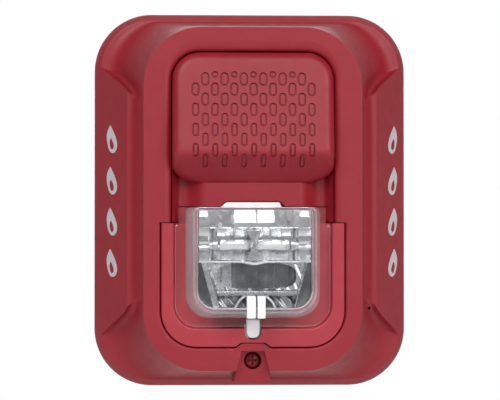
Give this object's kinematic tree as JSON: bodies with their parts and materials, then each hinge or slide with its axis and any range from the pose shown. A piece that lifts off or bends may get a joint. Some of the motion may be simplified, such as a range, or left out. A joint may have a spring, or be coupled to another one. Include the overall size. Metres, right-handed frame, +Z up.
{
  "type": "wall-mounted fire alarm horn strobe",
  "caption": "Red wall-mounted fire alarm horn strobe: piezo horn above a clear-lensed xenon flash, hinged onto a wiring plate and held by a captive screw.",
  "frame": {"origin": "centre of the wall plate's back face, on the wall", "axes": "+Y into the wall, -Y out towards the room, +Z up, +X to the right of someone facing the device"},
  "size_m": [0.1194, 0.049, 0.1426],
  "materials": {
    "red_plastic": "satin, fine moulded texture",
    "painted_screw": "satin paint",
    "white_plastic": "satin",
    "control_plastic": "satin",
    "black_plastic": "satin",
    "clear_plastic": "polished, clear polycarbonate",
    "tube_glass": "polished",
    "mirror_film": "polished",
    "zinc_steel": "zinc plated",
    "brass": "plain",
    "piezo_ceramic": "matt",
    "board_laminate": "solder mask",
    "capacitor_sleeve": "shrink sleeve",
    "ferrite": "matt",
    "copper_winding": "enamelled wire"
  },
  "bodies": {
    "wall_plate": {"mounting_plate": "white_plastic", "threaded_insert": "brass", "terminal_block": "black_plastic", "shorting_spring": "brass", "terminal_strip_1": "brass", "terminal_strip_2": "brass", "terminal_strip_3": "brass", "terminal_strip_4": "brass"},
    "head": {"bezel": "red_plastic", "horn_cover": "red_plastic", "strobe_surround": "red_plastic", "grille_baffle": "red_plastic", "strobe_lens": "clear_plastic", "reflector": "mirror_film", "flash_tube": "tube_glass", "tube_electrode_left": "zinc_steel", "tube_electrode_right": "zinc_steel", "trigger_band": "zinc_steel", "sound_chamber": "black_plastic", "piezo_disc": "brass", "piezo_ceramic": "piezo_ceramic", "circuit_board": "board_laminate", "flash_capacitor": "capacitor_sleeve", "transformer_core": "ferrite", "transformer_coil": "copper_winding", "trigger_coil": "copper_winding", "inductor": "ferrite", "microcontroller": "black_plastic", "back_cover": "black_plastic", "dial_housing": "black_plastic", "contact_blade_1": "brass", "contact_blade_2": "brass", "contact_blade_3": "brass", "contact_blade_4": "brass", "case_screw_1": "zinc_steel", "case_screw_2": "zinc_steel", "case_screw_3": "zinc_steel", "case_screw_4": "zinc_steel"},
    "screw_clip": {"screw_clip": "zinc_steel"},
    "cover_screw": {"cover_screw": "painted_screw"},
    "tone_dial": {"tone_dial": "control_plastic"},
    "candela_slider": {"candela_slider": "control_plastic"},
    "clamp_plate_1": {"clamp_plate_1": "zinc_steel"},
    "terminal_screw_1": {"terminal_screw_1": "zinc_steel"},
    "clamp_plate_2": {"clamp_plate_2": "zinc_steel"},
    "terminal_screw_2": {"terminal_screw_2": "zinc_steel"},
    "clamp_plate_3": {"clamp_plate_3": "zinc_steel"},
    "terminal_screw_3": {"terminal_screw_3": "zinc_steel"},
    "clamp_plate_4": {"clamp_plate_4": "zinc_steel"},
    "terminal_screw_4": {"terminal_screw_4": "zinc_steel"}
  },
  "joints": [
    {"name": "head_swing", "type": "hinge", "parent": "wall_plate", "child": "head", "pos_m": [0, -0.0042, 0.0655], "axis": [-1, 0, 0], "range_deg": [0, 18]},
    {"name": "cover_screw_travel", "type": "slide", "parent": "head", "child": "screw_clip", "axis": [0, -1, 0], "range_m": [0, 0.00699]},
    {"name": "cover_screw_turn", "type": "hinge", "parent": "screw_clip", "child": "cover_screw", "pos_m": [0, -0.02, -0.0608], "axis": [0, -1, 0], "range_deg": [0, 3168.1]},
    {"name": "tone_dial_turn", "type": "hinge", "parent": "head", "child": "tone_dial", "pos_m": [0.022, -0.015, -0.022], "axis": [0, 1, 0], "range_deg": [0, 324]},
    {"name": "candela_slide", "type": "slide", "parent": "head", "child": "candela_slider", "axis": [1, 0, 0], "range_m": [-0.006, 0.006]},
    {"name": "clamp_travel_1", "type": "slide", "parent": "wall_plate", "child": "clamp_plate_1", "axis": [0, -1, 0], "range_m": [0, 0.00238]},
    {"name": "terminal_turn_1", "type": "hinge", "parent": "clamp_plate_1", "child": "terminal_screw_1", "pos_m": [-0.018, -0.008, 0.0066], "axis": [0, -1, 0], "range_deg": [0, 1080.1]},
    {"name": "clamp_travel_2", "type": "slide", "parent": "wall_plate", "child": "clamp_plate_2", "axis": [0, -1, 0], "range_m": [0, 0.00238]},
    {"name": "terminal_turn_2", "type": "hinge", "parent": "clamp_plate_2", "child": "terminal_screw_2", "pos_m": [-0.006, -0.008, 0.0066], "axis": [0, -1, 0], "range_deg": [0, 1080.1]},
    {"name": "clamp_travel_3", "type": "slide", "parent": "wall_plate", "child": "clamp_plate_3", "axis": [0, -1, 0], "range_m": [0, 0.00238]},
    {"name": "terminal_turn_3", "type": "hinge", "parent": "clamp_plate_3", "child": "terminal_screw_3", "pos_m": [0.006, -0.008, 0.0066], "axis": [0, -1, 0], "range_deg": [0, 1080.1]},
    {"name": "clamp_travel_4", "type": "slide", "parent": "wall_plate", "child": "clamp_plate_4", "axis": [0, -1, 0], "range_m": [0, 0.00238]},
    {"name": "terminal_turn_4", "type": "hinge", "parent": "clamp_plate_4", "child": "terminal_screw_4", "pos_m": [0.018, -0.008, 0.0066], "axis": [0, -1, 0], "range_deg": [0, 1080.1]}
  ],
  "couplings": [
    {"joint": "cover_screw_turn", "follows": "cover_screw_travel", "rad_per_m": 7913.3},
    {"joint": "terminal_turn_1", "follows": "clamp_travel_1", "rad_per_m": 7913.3},
    {"joint": "terminal_turn_2", "follows": "clamp_travel_2", "rad_per_m": 7913.3},
    {"joint": "terminal_turn_3", "follows": "clamp_travel_3", "rad_per_m": 7913.3},
    {"joint": "terminal_turn_4", "follows": "clamp_travel_4", "rad_per_m": 7913.3}
  ]
}
